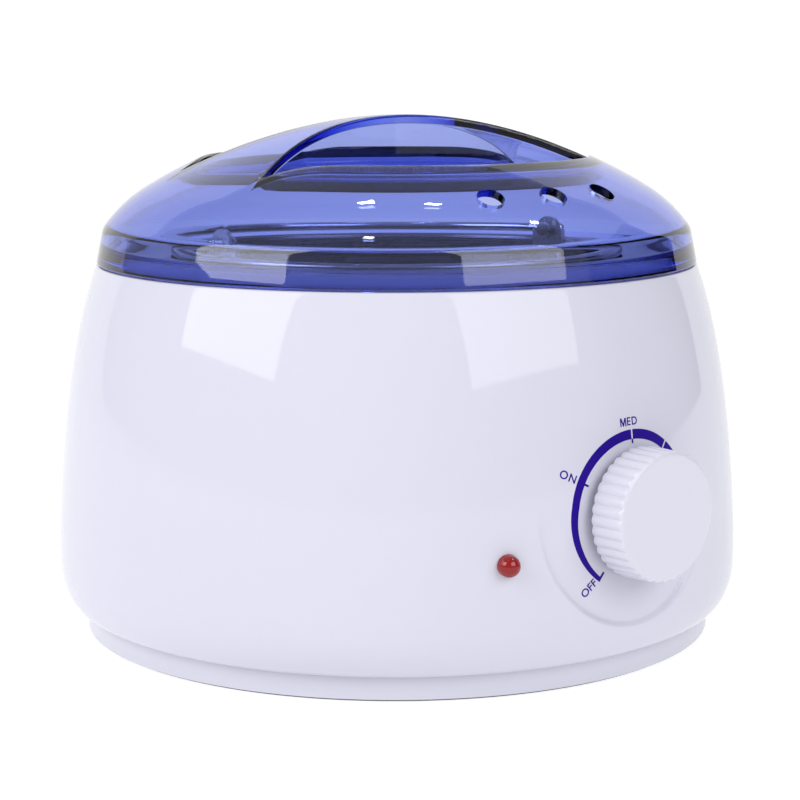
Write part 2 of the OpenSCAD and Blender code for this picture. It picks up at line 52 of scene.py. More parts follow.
# ---------------------------------------------------------------- material nodes


class Nodes:
    """A node tree written one call at a time."""

    def __init__(self, tree):
        self.tree = tree
        tree.nodes.clear()

    def add(self, kind, settings=None, **inputs):
        node = self.tree.nodes.new(kind)
        for key, value in (settings or {}).items():
            setattr(node, key, value)
        for key, value in inputs.items():
            self.put(node.inputs[key.replace("_", " ")], value)
        return node

    def put(self, socket, value):
        if isinstance(value, bpy.types.NodeSocket):
            self.tree.links.new(value, socket)
        else:
            socket.default_value = value

    def math(self, operation, *values):
        node = self.add("ShaderNodeMath", {"operation": operation})
        for socket, value in zip(node.inputs, values):
            self.put(socket, value)
        return node.outputs[0]

    def ramp(self, factor, stops):
        node = self.tree.nodes.new("ShaderNodeValToRGB")
        self.put(node.inputs["Fac"], factor)
        ramp = node.color_ramp
        while len(ramp.elements) < len(stops):
            ramp.elements.new(0.5)
        for element, (place, colour) in zip(ramp.elements, stops):
            element.position = place
            element.color = (*colour, 1.0)
        return node.outputs["Color"]


def shade(colour, k):
    """A colour made lighter or darker by a factor."""
    return tuple(min(1.0, c * k) for c in colour)


def stretched(nodes, scale):
    """Object coordinates in metres, multiplied by scale along each axis."""
    point = nodes.add("ShaderNodeTexCoord").outputs["Object"]
    return nodes.add("ShaderNodeMapping", Vector=point, Scale=scale).outputs["Vector"]


def polar(nodes, around, along):
    """Coordinates for marks that run round the Z axis, scaled apart around it and along it."""
    point = nodes.add("ShaderNodeTexCoord").outputs["Object"]
    part = nodes.add("ShaderNodeSeparateXYZ", Vector=point)
    x, y, z = (part.outputs[k] for k in "XYZ")
    radius = nodes.math("SQRT", nodes.math("MULTIPLY_ADD", y, y, nodes.math("MULTIPLY", x, x)))
    joined = nodes.add("ShaderNodeCombineXYZ", X=radius, Y=nodes.math("ARCTAN2", y, x), Z=z)
    return nodes.add(
        "ShaderNodeMapping", Vector=joined.outputs[0], Scale=(along, around, along)
    ).outputs["Vector"]


def surface(name, colour, rough, metallic=0.0, spread=0.03, rough_spread=0.06, grain=900.0,
            stretch=(1, 1, 1), turned=None, bump=0.00001, ior=1.5, volume=None,
            transmission=0.0, subsurface=0.0, wear=0.0):
    """A material whose colour, roughness and height all vary with the surface's own grain.
    grain is the noise's scale per metre, turned the lathe marks' scales round and along the
    axis, bump the height in metres, volume the absorption's colour and density."""
    material = bpy.data.materials.new(name)
    material.use_nodes = True
    nodes = Nodes(material.node_tree)
    if turned:
        vector = polar(nodes, *turned)
        fine = nodes.add("ShaderNodeTexNoise", Vector=vector, Scale=1.0, Detail=3.0)
    else:
        vector = stretched(nodes, stretch)
        fine = nodes.add("ShaderNodeTexNoise", Vector=vector, Scale=grain, Detail=3.0)
    broad = nodes.add("ShaderNodeTexNoise", Vector=stretched(nodes, (1, 1, 1)), Scale=28.0,
                      Detail=2.0)
    mixed = nodes.add("ShaderNodeMix", {"data_type": "FLOAT"}, Factor=0.5)
    nodes.put(mixed.inputs[2], fine.outputs["Fac"])
    nodes.put(mixed.inputs[3], broad.outputs["Fac"])
    value = mixed.outputs[0]
    tint = nodes.ramp(value, [(NOISE_LOW, shade(colour, 1 - spread)),
                              (NOISE_HIGH, shade(colour, 1 + spread))])
    if wear:
        edge = nodes.add("ShaderNodeNewGeometry").outputs["Pointiness"]
        mask = nodes.ramp(edge, [(0.5, (0, 0, 0)), (0.56, (wear, wear, wear))])
        worn = nodes.add("ShaderNodeMix", {"data_type": "RGBA"}, Factor=mask)
        nodes.put(worn.inputs[6], tint)
        nodes.put(worn.inputs[7], (*shade(colour, 1.5), 1.0))
        tint = worn.outputs[2]
    dull = nodes.add("ShaderNodeMapRange", Value=fine.outputs["Fac"])
    for key, number in (("From Min", NOISE_LOW), ("From Max", NOISE_HIGH),
                        ("To Min", max(0.0, rough - rough_spread)),
                        ("To Max", rough + rough_spread)):
        dull.inputs[key].default_value = number
    height = nodes.add("ShaderNodeBump", Strength=1.0, Distance=bump, Height=fine.outputs["Fac"])
    shader = nodes.add("ShaderNodeBsdfPrincipled", Base_Color=tint, Metallic=metallic, IOR=ior,
                       Roughness=dull.outputs[0], Normal=height.outputs[0])
    shader.inputs["Transmission Weight"].default_value = transmission
    shader.inputs["Subsurface Weight"].default_value = subsurface
    if subsurface:
        shader.inputs["Subsurface Radius"].default_value = (1.0, 0.9, 1.1)
        shader.inputs["Subsurface Scale"].default_value = 0.0012
    output = nodes.add("ShaderNodeOutputMaterial", Surface=shader.outputs[0])
    if volume:
        colour, density = volume
        absorb = nodes.add("ShaderNodeVolumeAbsorption", Color=(*colour, 1.0), Density=density)
        nodes.put(output.inputs["Volume"], absorb.outputs[0])
    return material


WHITE = (0.61, 0.61, 0.715)
STEEL = (0.62, 0.63, 0.64)
MATERIALS = {
    "white_gloss": surface("white_gloss", WHITE, 0.05, spread=0.006, rough_spread=0.02,
                           grain=260, bump=0.0000008, ior=1.36),
    "white_satin": surface("white_satin", shade(WHITE, 0.94), 0.25, spread=0.004,
                           rough_spread=0.01, grain=1100, bump=0.0000004),
    "knob_white": surface("knob_white", (0.635, 0.635, 0.735), 0.08, spread=0.006,
                          rough_spread=0.02, grain=600, bump=0.0000008),
    "rubber": surface("rubber", (0.05, 0.05, 0.055), 0.7, spread=0.2, grain=1800, bump=0.00004),
    "zinc_steel": surface("zinc_steel", STEEL, 0.32, metallic=1.0, spread=0.08,
                          rough_spread=0.12, grain=700, bump=0.000006, wear=0.5),
    "anodised_aluminium": surface("anodised_aluminium", (0.50, 0.50, 0.52), 0.34, metallic=1.0,
                                  turned=(3, 1600), spread=0.05, rough_spread=0.08,
                                  bump=0.000012),
    "pot_aluminium": surface("pot_aluminium", (0.44, 0.43, 0.44), 0.28, metallic=1.0,
                             turned=(2, 2600), spread=0.06, rough_spread=0.1, bump=0.00001),
    "bright_wire": surface("bright_wire", (0.80, 0.81, 0.83), 0.12, metallic=1.0, spread=0.04,
                           rough_spread=0.05, grain=500, bump=0.000004),
    "silicone": surface("silicone", (0.42, 0.06, 0.04), 0.5, spread=0.08, grain=1300,
                        bump=0.00001),
    "heater_sheet": surface("heater_sheet", (0.42, 0.33, 0.17), 0.42, metallic=0.9,
                            stretch=(1, 1, 8), spread=0.12, grain=300, bump=0.00002),
    "tinned_brass": surface("tinned_brass", (0.62, 0.60, 0.50), 0.28, metallic=1.0, spread=0.08,
                            grain=900, bump=0.000006),
    "brass": surface("brass", (0.58, 0.38, 0.11), 0.25, metallic=1.0, stretch=(1, 9, 1),
                     spread=0.08, grain=900, bump=0.00001),
    "spring_bronze": surface("spring_bronze", (0.50, 0.24, 0.09), 0.3, metallic=1.0,
                             stretch=(1, 8, 8), spread=0.1, grain=400, bump=0.00001),
    "steatite": surface("steatite", (0.74, 0.69, 0.58), 0.65, spread=0.06, grain=2200,
                        bump=0.00003),
    "glass_felt": surface("glass_felt", (0.70, 0.61, 0.40), 0.9, spread=0.2, grain=650,
                          stretch=(1, 1, 3), bump=0.0006),
    "sleeve_glass": surface("sleeve_glass", (0.70, 0.62, 0.33), 0.5, spread=0.15, grain=1400,
                            bump=0.00012),
    "nylon": surface("nylon", (0.78, 0.74, 0.62), 0.45, spread=0.04, grain=1200, bump=0.00001,
                     subsurface=0.2),
    "red_nylon": surface("red_nylon", (0.45, 0.01, 0.01), 0.4, spread=0.06, grain=1200,
                         bump=0.00001),
    "lead_brown": surface("lead_brown", (0.10, 0.03, 0.012), 0.45, spread=0.08, bump=0.00001),
    "lead_blue": surface("lead_blue", (0.012, 0.04, 0.35), 0.45, spread=0.08, bump=0.00001),
    "lead_red": surface("lead_red", (0.30, 0.012, 0.01), 0.45, spread=0.08, bump=0.00001),
    "lead_black": surface("lead_black", (0.01, 0.01, 0.01), 0.45, spread=0.2, bump=0.00001),
    "dial_print": surface("dial_print", (0.016, 0.001, 0.235), 0.4, spread=0.06, grain=2600,
                          bump=0.000002, ior=1.2),
    "red_lens": surface("red_lens", (0.45, 0.006, 0.008), 0.04, spread=0.03, rough_spread=0.02,
                        transmission=0.45, volume=((0.85, 0.01, 0.01), 700.0)),
    "clear_violet_blue": surface("clear_violet_blue", (1.0, 1.0, 1.0), 0.015, spread=0.004,
                                 rough_spread=0.01, grain=120, bump=0.0000004,
                                 transmission=1.0, ior=1.53,
                                 volume=((0.0, 0.17, 0.88), 300.0)),
}

slot_of = {row["node"]: row["material_slot"] for row in frame["record"]["subparts"]}
for name, obj in frame["nodes"].items():
    obj.data.materials.clear()
    obj.data.materials.append(MATERIALS[slot_of[name]])


# ---------------------------------------------------------------- mesh helpers


class Skin:
    """Collects grids of points, in millimetres, into one mesh."""

    def __init__(self):
        self.points = []
        self.faces = []

    def grid(self, rows, closed=False):
        """Quads between rows of equal length; closed joins each row's end to its start."""
        base, n = len(self.points), len(rows[0])
        for row in rows:
            self.points += [tuple(p) for p in row]
        for i in range(len(rows) - 1):
            for j in range(n if closed else n - 1):
                k = (j + 1) % n
                self.faces.append((base + i * n + j, base + i * n + k,
                                   base + (i + 1) * n + k, base + (i + 1) * n + j))

    def build(self, name, slot, body, node=None, sharp=35.0, turn=0.0):
        """The piece in metres, turned about the Z axis, that stands for a CAD node if named."""
        mesh = bpy.data.meshes.new(name)
        mesh.from_pydata(self.points, [], self.faces)
        work = bmesh.new()
        work.from_mesh(mesh)
        bmesh.ops.remove_doubles(work, verts=work.verts, dist=0.0008)
        bmesh.ops.dissolve_degenerate(work, edges=work.edges, dist=0.0004)
        bmesh.ops.recalc_face_normals(work, faces=work.faces)
        work.to_mesh(mesh)
        work.free()
        mesh.transform(Matrix.Rotation(math.radians(turn), 4, "Z") @ Matrix.Scale(MM, 4))
        return place(mesh, name, slot, body, node, sharp)


def soften(mesh, sharp):
    """Smooth shading with edges kept sharp above an angle in degrees."""
    mesh.polygons.foreach_set("use_smooth", [True] * len(mesh.polygons))
    mesh.set_sharp_from_angle(angle=math.radians(sharp))
    mesh.update()


def place(mesh, name, slot, body, node=None, sharp=35.0):
    """A new piece with its material, riding on a body."""
    obj = bpy.data.objects.new(name, mesh)
    scene.collection.objects.link(obj)
    mesh.materials.clear()
    mesh.materials.append(MATERIALS[slot])
    soften(mesh, sharp)
    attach(obj, body)
    if node:
        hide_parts(node)
    return obj


def drill(obj, cutters, sharp=35.0):
    """Cuts round holes: each cutter is (radius, foot, tip) in millimetres."""
    work = bmesh.new()
    for radius, foot, tip in cutters:
        foot, tip = Vector(foot) * MM, Vector(tip) * MM
        turn = (tip - foot).to_track_quat("Z", "Y").to_matrix().to_4x4()
        bmesh.ops.create_cone(work, cap_ends=True, segments=64, radius1=radius * MM,
                              radius2=radius * MM, depth=(tip - foot).length,
                              matrix=Matrix.Translation((foot + tip) / 2) @ turn)
    mesh = bpy.data.meshes.new("cutter")
    work.to_mesh(mesh)
    work.free()
    cutter = bpy.data.objects.new("cutter", mesh)
    scene.collection.objects.link(cutter)
    modifier = obj.modifiers.new("holes", "BOOLEAN")
    modifier.object, modifier.operation, modifier.solver = cutter, "DIFFERENCE", "EXACT"
    graph = bpy.context.evaluated_depsgraph_get()
    cut = bpy.data.meshes.new_from_object(obj.evaluated_get(graph))
    obj.modifiers.clear()
    obj.data = cut
    bpy.data.objects.remove(cutter)
    soften(cut, sharp)


def arc(centre, radius, start, end, n):
    """Points (r, z) of an arc from one angle to another, in degrees."""
    return [(centre[0] + radius * math.cos(math.radians(a)),
             centre[1] + radius * math.sin(math.radians(a)))
            for a in np.linspace(start, end, n + 1)]


def bend(a, b, c, n):
    """Points of a quadratic curve from a to c that leaves and arrives towards b."""
    a, b, c = (np.array(p, float) for p in (a, b, c))
    return [tuple((1 - t) ** 2 * a + 2 * t * (1 - t) * b + t * t * c)
            for t in np.linspace(0, 1, n + 1)]


def bezier(p, t):
    """The point at t of a cubic curve with four control points."""
    p = [np.array(q, float) for q in p]
    s = 1 - t
    return s ** 3 * p[0] + 3 * s * s * t * p[1] + 3 * s * t * t * p[2] + t ** 3 * p[3]


def lathe(outline, columns):
    """Rings about the Z axis for each (r, z) of an outline."""
    return [[(r * math.sin(a), -r * math.cos(a), z) for a in columns] for r, z in outline]


def ease(t):
    """A smooth step from 0 to 1."""
    t = min(1.0, max(0.0, t))
    return t * t * (3 - 2 * t)


# ---------------------------------------------------------------- housing

KNOB_Z, LAMP_Z, GLAND_Z = 44.0, 34.6, 20.0
LAMP_TURN = math.radians(-23.3)
KNOB_HOLE, LAMP_HOLE, GLAND_HOLE = 5.1, 2.7, 5.5
DISH_R, DISH_FLOOR, DISH_EDGE = 28.3, 91.3, 1.3
SEAT_R, SEAT_Z = 81.17, 99.0
FOOT_R, FOOT_Z, CREASE_R, CREASE_Z = 85.4, 6.4, 92.5, 18.7
LIP_OUT, LIP_IN, LIP_Z = 77.07, 74.67, 102.2
DECK_Z, DECK_UNDER, DECK_HOLE = 98.6, 96.0, 63.2
WALL = 2.6

sill = [(FOOT_R + (CREASE_R - FOOT_R) * math.sin(a), CREASE_Z - (CREASE_Z - FOOT_Z) * math.cos(a))
        for a in np.linspace(0, math.pi / 2, 40)]
side = [tuple(bezier([(CREASE_R, CREASE_Z), (CREASE_R + 0.4, CREASE_Z + 1.3),
                      (CREASE_R - 0.1, 0.7 * SEAT_Z), (SEAT_R, SEAT_Z)], t))
        for t in np.linspace(0, 1, 400)]
outer = np.array(sill + side[1:])


def housing_radius(z):
    """Radius of the housing's plain outline at a height."""
    return float(np.interp(z, outer[:, 1], outer[:, 0]))


def wall_radius(x, z):
    """Radius of the housing's face, with the shallow dish round the knob."""
    r = housing_radius(z)
    near = math.hypot(x, z - KNOB_Z)
    return r - ease((DISH_R + DISH_EDGE / 2 - near) / DISH_EDGE) * max(0.0, r - DISH_FLOOR)


def on_wall(x, z, out=0.0):
    """The point of the housing's front face at sideways distance x and height z."""
    r = wall_radius(x, z) + out
    return (x, -math.sqrt(max(r * r - x * x, 0.0)), z)


FINE_TURN = math.radians(22)  # the columns stand closer within this angle of the dish
FINE_FOOT, FINE_TOP, FINE_STEP = 14, 74.5, 0.4
columns = np.concatenate([np.linspace(-FINE_TURN, FINE_TURN, 177),
                          np.linspace(FINE_TURN, 2 * math.pi - FINE_TURN, 160)[1:-1]])
levels = np.concatenate([[p[1] for p in sill if p[1] < FINE_FOOT],
                         np.arange(FINE_FOOT, FINE_TOP, FINE_STEP),
                         np.linspace(FINE_TOP + 0.3, SEAT_Z - 0.5, 22)])
rows = []
for z in levels:
    r0 = housing_radius(z)
    ring = []
    for a in columns:
        front = math.cos(a) > 0.5
        r = wall_radius(r0 * math.sin(a), z) if front else r0
        ring.append((r * math.sin(a), -r * math.cos(a), z))
    rows.append(ring)
top_r = housing_radius(SEAT_Z - 0.5)
rim = (bend((top_r, SEAT_Z - 0.5), (SEAT_R, SEAT_Z), (SEAT_R - 0.5, SEAT_Z), 4)[1:]
       + [(LIP_OUT + 0.3, SEAT_Z), (LIP_OUT, SEAT_Z + 0.3), (LIP_OUT, LIP_Z - 0.5)]
       + bend((LIP_OUT, LIP_Z - 0.5), (LIP_OUT, LIP_Z), (LIP_OUT - 0.5, LIP_Z), 4)[1:]
       + bend((LIP_IN + 0.5, LIP_Z), (LIP_IN, LIP_Z), (LIP_IN, LIP_Z - 0.5), 4)
       + [(LIP_IN, DECK_Z + 0.4), (LIP_IN - 0.4, DECK_Z), (DECK_HOLE + 0.3, DECK_Z),
          (DECK_HOLE, DECK_Z - 0.3), (DECK_HOLE, DECK_UNDER), (SEAT_R + 1.1 - WALL, DECK_UNDER)])
inside = [(housing_radius(z) - WALL, z) for z in np.linspace(DECK_UNDER - 1.5, FOOT_Z + 0.01, 40)]
foot = [(FOOT_R - WALL, FOOT_Z), (FOOT_R - 0.4, FOOT_Z), (FOOT_R, FOOT_Z)]
shell = Skin()
shell.grid(rows + lathe(rim + inside + foot, columns), closed=True)
housing = shell.build("housing_shell", "white_gloss", "housing", "outer_shell")


def radial(turn, z, distance):
    """The point at an azimuth from the front, a height and a distance from the axis."""
    return (distance * math.sin(turn), -distance * math.cos(turn), z)


drill(housing, [(hole, radial(turn, z, 80), radial(turn, z, end)) for hole, turn, z, end in
                ((KNOB_HOLE, 0.0, KNOB_Z, 96), (LAMP_HOLE, LAMP_TURN, LAMP_Z, 96),
                 (GLAND_HOLE, math.pi, GLAND_Z, 97))])

# ---------------------------------------------------------------- knob

FLUTES, FLUTE = 36, 0.5
BACK, FACE, BACK_R, FACE_R = 92.2, 102.2, 16.4, 16.2
ROUND, CROWN = 1.1, 0.6  # the front edge's rounding and the face's rise at its middle
HOLLOW, BOSS, BORE = 13.6, 5.0, 3.02
CEILING, BOSS_END, BORE_END = 99.8, 94.6, 97.2
knob_columns = np.linspace(0, 2 * math.pi, FLUTES * 12, endpoint=False)


def knob_side(w):
    """Radius over the ribs at a distance w from the pot's axis."""
    return BACK_R + (FACE_R - BACK_R) * (w - BACK) / (FACE - BACK)


front = [(knob_side(FACE - ROUND) - ROUND + ROUND * math.cos(math.radians(a)),
          FACE - ROUND + ROUND * math.sin(math.radians(a)), 1 - ease(a / 85))
         for a in range(0, 91, 15)]
grip = ([(BACK_R - 0.35, BACK, 0.9), (BACK_R - 0.08, BACK + 0.12, 1.0)]
        + [(knob_side(w), w, 1.0) for w in np.linspace(BACK + 0.5, FACE - 1.5, 8)] + front)
edge_r = front[-1][0]
face = [(edge_r * k, FACE + CROWN * (1 - k * k), 0.0)
        for k in (0.95, 0.85, 0.7, 0.5, 0.3, 0.12, 0.0)]
under = [(0.0, BORE_END, 0), (BORE, BORE_END, 0), (BORE, BOSS_END, 0), (BOSS, BOSS_END, 0),
         (BOSS, CEILING, 0), (HOLLOW - 0.8, CEILING, 0), (HOLLOW, CEILING - 0.8, 0),
         (HOLLOW, BACK, 0)]
knob = Skin()
knob_rows = []
for r, w, flute in under + grip + face:
    ring = []
    for a in knob_columns:
        q = max(0.0, r - flute * FLUTE * (1 - abs(math.cos(FLUTES * a / 2)))) if r else 0.0
        ring.append((q * math.sin(a), -w, KNOB_Z + q * math.cos(a)))
    knob_rows.append(ring)
knob.grid(knob_rows, closed=True)
knob.build("knob_grip", "knob_white", "knob", "knob", sharp=50)

# ---------------------------------------------------------------- pilot lamp

LENS_R, LENS_FLANGE, LENS_TAIL, LENS_FRONT = 2.5, 2.8, 82, 92.2
lens_outline = ([(0, LENS_TAIL), (LENS_R - 0.2, LENS_TAIL), (LENS_R, LENS_TAIL + 0.2),
                 (LENS_R, LENS_FRONT)]
                + [(LENS_FLANGE - 0.1, LENS_FRONT), (LENS_FLANGE, LENS_FRONT + 0.1)]
                + arc((0, LENS_FRONT + 1.0), LENS_FLANGE - 0.1, 0, 90, 14))
lens = Skin()
lens_rows = []
for r, w in lens_outline:
    ring = []
    for a in np.linspace(0, 2 * math.pi, 64, endpoint=False):
        s, c = math.sin(LAMP_TURN), math.cos(LAMP_TURN)
        across = r * math.sin(a)
        ring.append((w * s + across * c, -w * c + across * s, LAMP_Z + r * math.cos(a)))
    lens_rows.append(ring)
lens.grid(lens_rows, closed=True)
lens.build("lamp_dome", "red_lens", "housing", "lamp_lens")

# ---------------------------------------------------------------- dial print

INK = 0.05  # half the print's thickness
ARC_R, ARC_END = 20.0, 144.4
ON_TURN, MED_TURN, FULL_TURN = -62.5, 0.0, 38.0  # degrees clockwise from the top
GAP, TICK = 0.75, 0.85  # half of a gap in the band and half of a tick, in degrees
TICK_FOOT, END_FOOT, END_WIDE = {ON_TURN: 16.7, MED_TURN: 16.6}, 17.4, 1.7


def dial_point(turn, rho, out):
    """A point round the knob's axis, clockwise from the top, at radius rho on the housing."""
    a = math.radians(turn)
    return on_wall(rho * math.sin(a), KNOB_Z + rho * math.cos(a), out)


def ink_patch(skin, inner, outer_r, angles):
    """A thin closed strip on the housing between two radii that may vary with the angle."""
    rings = []
    for a in angles:
        lo, hi = inner(a), outer_r(a)
        rings.append([dial_point(a, lo, -INK), dial_point(a, lo, INK),
                      dial_point(a, (lo + hi) / 2, INK), dial_point(a, hi, INK),
                      dial_point(a, hi, -INK), dial_point(a, (lo + hi) / 2, -INK)])
    skin.grid(rings, closed=True)
    for ring in (rings[0], rings[-1]):
        base = len(skin.points)
        skin.points += ring
        skin.faces.append((base, base + 1, base + 2, base + 5))
        skin.faces.append((base + 2, base + 3, base + 4, base + 5))


def arc_inner(a):
    """Inner radius of the band, which widens from OFF to MED."""
    return ARC_R - np.interp(a, [-144, -115, -85, -37, 0], [1.1, 1.65, 2.0, 2.3, 2.4])


def level(radius):
    """A radius that stays the same along a strip."""
    return lambda a: radius


dial = Skin()
for start, end in ((-ARC_END, MED_TURN - GAP), (MED_TURN + GAP, FULL_TURN - GAP),
                   (FULL_TURN + GAP, ARC_END)):
    count = max(8, int((end - start) / 1.5))
    ink_patch(dial, arc_inner, level(ARC_R), np.linspace(start, end, count))
for turn, tick_foot in TICK_FOOT.items():
    ink_patch(dial, level(tick_foot), level(arc_inner(turn) + INK),
              np.linspace(turn - TICK, turn + TICK, 3))
for turn in (-ARC_END, ARC_END):
    ink_patch(dial, level(END_FOOT), level(ARC_R),
              np.linspace(turn * 1.001, turn - math.copysign(END_WIDE, turn), 3))
dial.build("dial_arc", "dial_print", "housing")


def label(text, size, turn, rho, tilt, spacing=1.0, name=None, outlines=()):
    """A word of the dial, wrapped on the housing, with any letters given as closed outlines."""
    curve = bpy.data.curves.new("text", "FONT")
    curve.body, curve.size, curve.align_x, curve.align_y = text, size, "CENTER", "CENTER"
    curve.extrude, curve.offset, curve.space_character = INK, size * 0.012, spacing
    curve.resolution_u = 6
    draft = bpy.data.objects.new("text", curve)
    scene.collection.objects.link(draft)
    graph = bpy.context.evaluated_depsgraph_get()
    mesh = bpy.data.meshes.new_from_object(draft.evaluated_get(graph))
    bpy.data.objects.remove(draft)
    work = bmesh.new()
    work.from_mesh(mesh)
    for outline in outlines:
        front = work.faces.new([work.verts.new((x, y, INK)) for x, y in outline])
        side = bmesh.ops.extrude_face_region(work, geom=[front])["geom"]
        moved = [v for v in side if isinstance(v, bmesh.types.BMVert)]
        bmesh.ops.translate(work, vec=(0, 0, -2 * INK), verts=moved)
    bmesh.ops.triangulate(work, faces=[f for f in work.faces if len(f.verts) > 4])
    a, lean = math.radians(turn), math.radians(tilt)
    x0, z0 = rho * math.sin(a), KNOB_Z + rho * math.cos(a)
    for v in work.verts:
        x = x0 + v.co.x * math.cos(lean) - v.co.y * math.sin(lean)
        z = z0 + v.co.x * math.sin(lean) + v.co.y * math.cos(lean)
        v.co = Vector(on_wall(x, z, v.co.z)) * MM
    bmesh.ops.remove_doubles(work, verts=work.verts, dist=1e-6)
    bmesh.ops.recalc_face_normals(work, faces=work.faces)
    work.to_mesh(mesh)
    work.free()
    place(mesh, "dial_" + (name or text.lower()), "dial_print", "housing")


LETTER_W, LETTER_H, STROKE, LETTER_X = 2.0, 2.05, 0.36, -4.0
letter_m = [(0, 0), (0, LETTER_H), (0.5, LETTER_H), (LETTER_W / 2, 0.75),
            (LETTER_W - 0.5, LETTER_H), (LETTER_W, LETTER_H), (LETTER_W, 0),
            (LETTER_W - STROKE, 0), (LETTER_W - STROKE, 1.4), (LETTER_W / 2 + 0.15, 0),
            (LETTER_W / 2 - 0.15, 0), (STROKE, 1.4), (STROKE, 0)]
label("ED", 2.8, 1.0, 21.9, 0, spacing=1.15, name="med",
      outlines=[[(x + LETTER_X, y - LETTER_H / 2) for x, y in letter_m]])
label("ON", 2.9, -62.8, 22.9, -26, spacing=1.15)
label("OFF", 2.9, -140.2, 22.9, 41)
label("HIGH", 2.9, 118.0, 22.8, -60)

# ---------------------------------------------------------------- lid

LID_TURN = 176.0  # degrees from the pockets drawn along X to where they stand on the pot
CROWN_R, CROWN_C = 130.0, 8.4  # the dome's sphere and the height of its centre
SHOULDER_R = 38.0
BAND_R, BAND_Z, LID_Z = 79.3, 108.5, 99.3
THICK = 2.2
STEP_R, STEP_Z = 77.5, 103.2  # the small step that seats the lid on the housing's lip
FLOOR_Z = 122.0
TIP_X, TIP_Y, FIN_HALF = 56, 20.3, 3  # the pocket's tips and half the fin at its narrowest
LIP_R, LIP_OPEN = 51.7, math.radians(38)
WALL_LEAN, TIP_FADE, DEPTH_FADE = 0.35, 0.16, 0.1
reach = math.hypot(BAND_R, BAND_Z - CROWN_C)
TURN = math.degrees(math.atan2(BAND_R, BAND_Z - CROWN_C) - math.acos(
    ((CROWN_R - SHOULDER_R) ** 2 + reach ** 2 - SHOULDER_R ** 2)
    / (2 * (CROWN_R - SHOULDER_R) * reach)))
SHOULDER = ((CROWN_R - SHOULDER_R) * math.sin(math.radians(TURN)),
            CROWN_C + (CROWN_R - SHOULDER_R) * math.cos(math.radians(TURN)))
CREASE = math.degrees(math.atan2(BAND_Z - SHOULDER[1], BAND_R - SHOULDER[0]))
U = 96  # steps along a pocket
ACROSS = 20  # steps across its floor and across the fin


def crown(x, y, radius):
    """Height of the dome over a point in plan."""
    return CROWN_C + math.sqrt(radius * radius - x * x - y * y)


def pocket_curves(m):
    """Matching points of a pocket's two sides in plan, for a wall moved out by m:
    the fin's hollow face and the outer lip, from the left tip to the right one."""
    tip = np.array([TIP_X + 1.2 * m, TIP_Y])
    mid = FIN_HALF - 0.72 * m
    lip_r = LIP_R + m
    start = (lip_r * math.cos(LIP_OPEN), lip_r * math.sin(LIP_OPEN))
    corner = [bezier([tip, (50.5 + m, 21.6), (46.5 + m, 24.8), start], t)
              for t in np.linspace(0, 1, 40)]
    bow = [np.array([lip_r * math.cos(a), lip_r * math.sin(a)])
           for a in np.linspace(LIP_OPEN, math.pi / 2, 60)]
    half = np.array(corner + bow[1:])
    run = np.concatenate([[0], np.cumsum(np.linalg.norm(np.diff(half, axis=0), axis=1))])
    spots = np.linspace(-1, 1, U + 1)
    spots = np.sign(spots) * (1 - (1 - np.abs(spots)) ** 1.25)
    lip = []
    for u in spots:
        s = (1 - abs(u)) * run[-1]
        lip.append(np.array([math.copysign(np.interp(s, run, half[:, 0]), u),
                             np.interp(s, run, half[:, 1])]))
    face_line = [np.array([tip[0] * u, mid + (tip[1] - mid) * u * u]) for u in spots]
    return spots, face_line, lip


def sideways(line, flip):
    """Unit directions square to a line in plan, pointing into the pocket."""
    result = []
    for i in range(len(line)):
        d = line[min(i + 1, len(line) - 1)] - line[max(i - 1, 0)]
        d = d / np.linalg.norm(d)
        result.append(np.array([-d[1], d[0]]) * flip)
    return result


def lid_skin(skin, m, radius, floor, round_top, round_floor):
    """The crown with both pockets; m is 0 for the outside and the wall for the inside.
    Returns the closed outline that the dome's outer part starts from."""
    spots, face_line, lip = pocket_curves(m)
    walls = []
    for line, flip in ((face_line, 1.0), (lip, -1.0)):
        sections = []
        for u, p, n in zip(spots, line, sideways(line, flip)):
            fade = ease((1 - abs(u)) / TIP_FADE)
            top = crown(*p, radius)
            drop = max(0.03, (top - floor) * ease((1 - abs(u)) / DEPTH_FADE))
            low = top - drop
            r1, r2 = min(round_top * fade, drop * 0.4), min(round_floor * fade, drop * 0.4)
            a = p - n * r1
            c = p + n * r2
            lean = n * WALL_LEAN * fade * min(1.0, drop / 8)
            section = bend((*a, crown(*a, radius)), (*p, top), (*p, top - r1), 5)
            section += [tuple((1 - t) * np.array((*p, top - r1))
                              + t * np.array((*(p + lean), low + r2))) for t in (0.25, 0.5, 0.75)]
            section += bend((*(p + lean), low + r2), (*(p + lean), low), (*(c + lean), low), 5)
            sections.append(section)
        walls.append(sections)
    feet = [[np.array(s[-1]) for s in sections] for sections in walls]
    floor_rows = [[tuple((1 - t) * a + t * b) for a, b in zip(*feet)]
                  for t in np.linspace(0, 1, ACROSS + 1)]
    for half in (1, -1):
        for patch in (*walls, floor_rows):
            skin.grid([[(half * x, half * y, z) for x, y, z in row] for row in patch])
    ridge = [s[0] for s in walls[0]]
    other = [(-x, -y, z) for x, y, z in reversed(ridge)]
    strips = []
    for a, b in zip(other, ridge):
        flat = [(a[0] + (b[0] - a[0]) * t, a[1] + (b[1] - a[1]) * t)
                for t in np.linspace(0, 1, ACROSS + 1)]
        strips.append([(x, y, crown(x, y, radius)) for x, y in flat])
    skin.grid(strips)
    edge = [s[0] for s in walls[1]]
    loop = strips[-1][:-1] + list(reversed(edge))[:-1]
    return loop + [(-x, -y, z) for x, y, z in loop]


